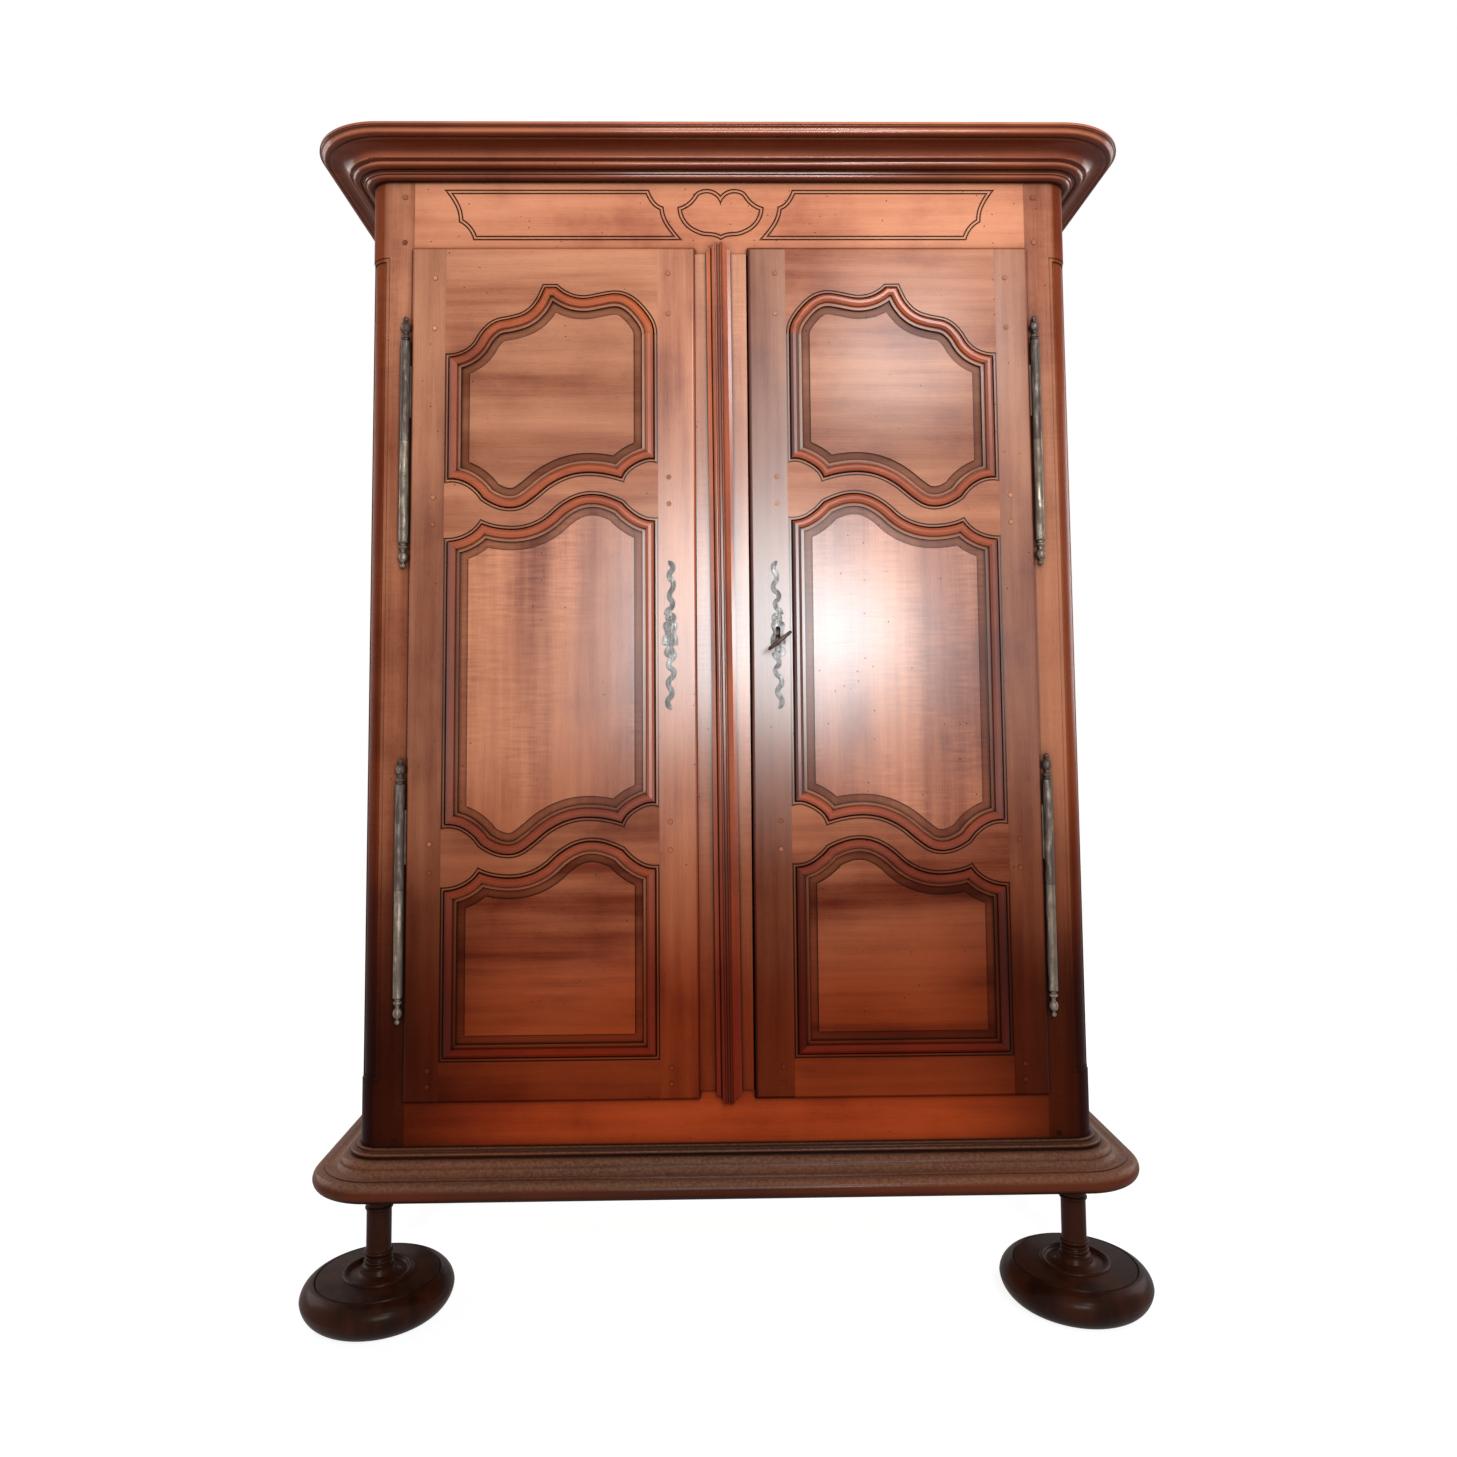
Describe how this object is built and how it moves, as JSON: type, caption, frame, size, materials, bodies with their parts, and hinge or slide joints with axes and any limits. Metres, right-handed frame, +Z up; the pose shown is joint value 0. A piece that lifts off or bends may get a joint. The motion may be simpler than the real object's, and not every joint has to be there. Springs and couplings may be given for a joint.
{
  "type": "wardrobe",
  "caption": "Tall walnut wardrobe with two panelled doors on iron barrel hinges, a moulded cornice and base, a carved frieze and turned front feet.",
  "frame": {"origin": "on the floor, at the middle of the bottom of the whole piece", "axes": "+X to the right seen from the front, +Y from the doors to the back, +Z up"},
  "size_m": [1.738, 0.715, 2.418],
  "materials": {
    "walnut": "old wax polish",
    "walnut_panel": "old wax polish",
    "walnut_strip": "old wax polish",
    "walnut_dark": "dark old wax polish",
    "inner_wood": "bare wood",
    "peg_wood": "old wax polish",
    "hinge_iron": "worn and browned",
    "plate_iron": "worn bright",
    "lock_iron": "dull",
    "key_iron": "browned"
  },
  "bodies": {
    "carcass": {"back_boards": "inner_wood", "back_rails": "inner_wood", "base_front": "walnut_dark", "base_left": "walnut_dark", "base_right": "walnut_dark", "bottom_rail": "walnut", "carcass_pegs": "peg_wood", "ceiling_boards": "inner_wood", "cleats": "inner_wood", "cornice_front": "walnut", "cornice_left": "walnut", "cornice_right": "walnut", "floor_boards": "inner_wood", "frieze_rail": "walnut", "front_left_stile": "walnut", "front_right_stile": "walnut", "left_foot": "walnut_dark", "left_hinge_sockets": "hinge_iron", "left_side_panels": "walnut", "left_side_rails": "walnut", "rear_left_stile": "walnut", "rear_right_stile": "walnut", "right_foot": "walnut_dark", "right_hinge_sockets": "hinge_iron", "right_side_panels": "walnut", "right_side_rails": "walnut", "shelves": "inner_wood"},
    "left_door": {"left_door_bottom_rail": "walnut", "left_door_hinge_stile": "walnut", "left_door_lock_stile": "walnut", "left_door_lower_middle_rail": "walnut", "left_door_lower_panel": "walnut_panel", "left_door_middle_panel": "walnut_panel", "left_door_pegs": "peg_wood", "left_door_top_rail": "walnut", "left_door_upper_middle_rail": "walnut", "left_door_upper_panel": "walnut_panel", "centre_strip": "walnut_strip", "centre_pilaster": "walnut_strip", "left_hinge_knuckles": "hinge_iron", "left_escutcheon": "plate_iron", "lock_keeper": "lock_iron", "bolt_staples": "lock_iron"},
    "right_door": {"right_door_bottom_rail": "walnut", "right_door_hinge_stile": "walnut", "right_door_lock_stile": "walnut", "right_door_lower_middle_rail": "walnut", "right_door_lower_panel": "walnut_panel", "right_door_middle_panel": "walnut_panel", "right_door_pegs": "peg_wood", "right_door_top_rail": "walnut", "right_door_upper_middle_rail": "walnut", "right_door_upper_panel": "walnut_panel", "right_hinge_knuckles": "hinge_iron", "right_escutcheon": "plate_iron", "lock_case": "lock_iron"},
    "key": {"key": "key_iron"},
    "lock_bolt": {"lock_bolt": "lock_iron"},
    "upper_bolt": {"upper_bolt": "lock_iron"},
    "lower_bolt": {"lower_bolt": "lock_iron"}
  },
  "joints": [
    {"name": "left_door_hinge", "type": "hinge", "parent": "carcass", "child": "left_door", "pos_m": [-0.667, -0.2524, 0.853], "axis": [0, 0, -1], "range_deg": [0, 170]},
    {"name": "right_door_hinge", "type": "hinge", "parent": "carcass", "child": "right_door", "pos_m": [0.667, -0.2524, 0.853], "axis": [0, 0, 1], "range_deg": [0, 170]},
    {"name": "key_turn", "type": "hinge", "parent": "right_door", "child": "key", "pos_m": [0.112, -0.2545, 1.355], "axis": [0, -1, 0], "range_deg": [0, 232]},
    {"name": "lock_bolt_slide", "type": "slide", "parent": "right_door", "child": "lock_bolt", "axis": [-1, 0, 0], "range_m": [0, 0.022]},
    {"name": "upper_bolt_slide", "type": "slide", "parent": "left_door", "child": "upper_bolt", "axis": [0, 0, 1], "range_m": [0, 0.022]},
    {"name": "lower_bolt_slide", "type": "slide", "parent": "left_door", "child": "lower_bolt", "axis": [0, 0, -1], "range_m": [0, 0.022]}
  ],
  "couplings": [
    {"joint": "key_turn", "follows": "lock_bolt_slide", "rad_per_m": 184.05}
  ]
}
